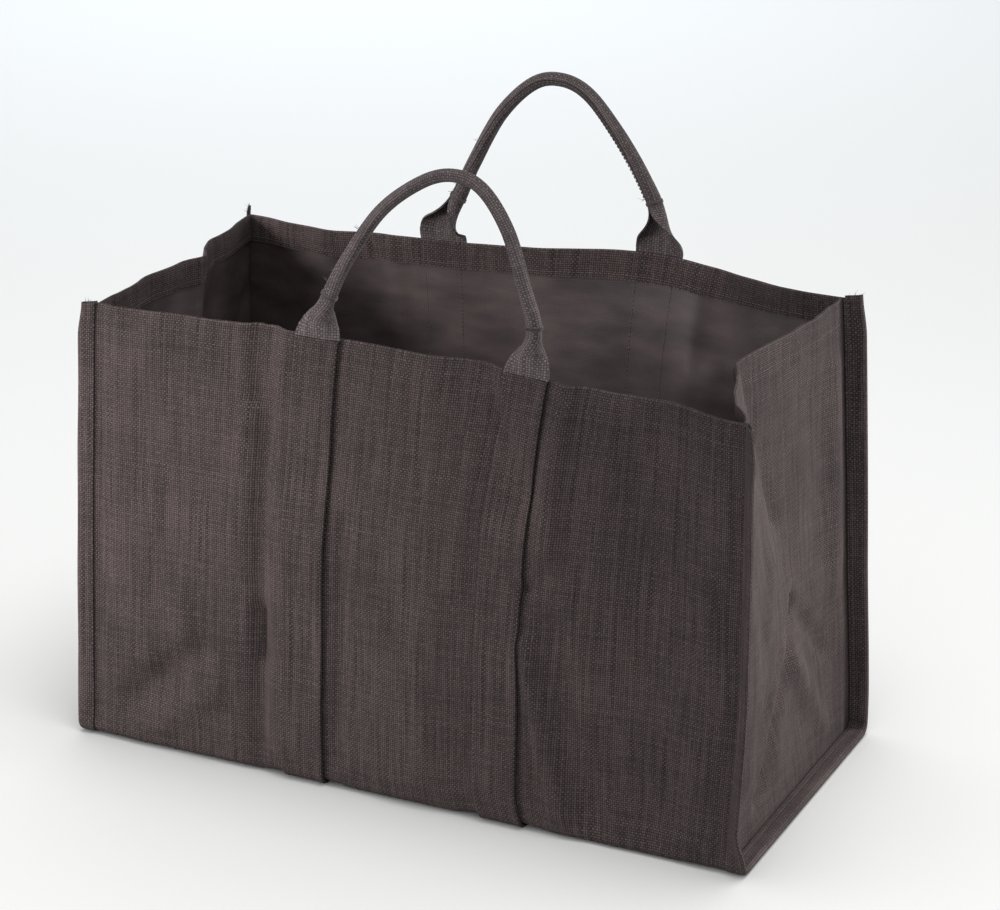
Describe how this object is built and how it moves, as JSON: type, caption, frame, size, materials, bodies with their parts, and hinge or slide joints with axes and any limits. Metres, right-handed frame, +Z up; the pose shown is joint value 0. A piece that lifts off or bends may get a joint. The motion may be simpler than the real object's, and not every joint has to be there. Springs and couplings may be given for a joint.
{
  "type": "log carrier bag",
  "caption": "Self-standing rectangular open-topped bag of coarse woven cloth with bound corner seams and a rolled loop handle on each long side, for carrying firewood.",
  "frame": {"origin": "on the floor, under the middle of the base, at the bottom centre of the bounding box", "axes": "+Z up; X along the bag's length, from end panel to end panel, +X to the right seen from the front; -Y towards the front"},
  "size_m": [0.634, 0.3068, 0.5666],
  "materials": {
    "woven_cloth": "coarse plain weave, laminated inside, matt",
    "strap_cloth": "coarse plain weave, folded and sewn, matt",
    "binding_tape": "coarse plain weave tape, matt",
    "thread": "spun thread, matt",
    "rope": "twisted fibre rope, matt"
  },
  "bodies": {
    "bag": {"body_panel": "woven_cloth", "left_end_panel": "woven_cloth", "right_end_panel": "woven_cloth", "left_binding": "binding_tape", "right_binding": "binding_tape", "left_strap": "strap_cloth", "right_strap": "strap_cloth", "left_strap_stitching": "thread", "right_strap_stitching": "thread", "body_hem_stitching": "thread", "left_end_hem_stitching": "thread", "right_end_hem_stitching": "thread", "left_binding_stitching": "thread", "right_binding_stitching": "thread"},
    "front_handle": {"front_handle_left_flare": "strap_cloth", "front_handle_right_flare": "strap_cloth", "front_handle_sleeve": "strap_cloth", "front_handle_core": "rope", "front_handle_seam_stitching": "thread", "front_handle_bar_tacks": "thread"},
    "back_handle": {"back_handle_left_flare": "strap_cloth", "back_handle_right_flare": "strap_cloth", "back_handle_sleeve": "strap_cloth", "back_handle_core": "rope", "back_handle_seam_stitching": "thread", "back_handle_bar_tacks": "thread"}
  },
  "joints": [
    {"name": "front_handle_swing", "type": "hinge", "parent": "bag", "child": "front_handle", "pos_m": [0, -0.1533, 0.404], "axis": [-1, 0, 0], "range_deg": [-150, 64], "stiffness_Nm_per_rad": 0.15},
    {"name": "back_handle_swing", "type": "hinge", "parent": "bag", "child": "back_handle", "pos_m": [0, 0.1533, 0.404], "axis": [1, 0, 0], "range_deg": [-150, 64], "stiffness_Nm_per_rad": 0.15}
  ]
}
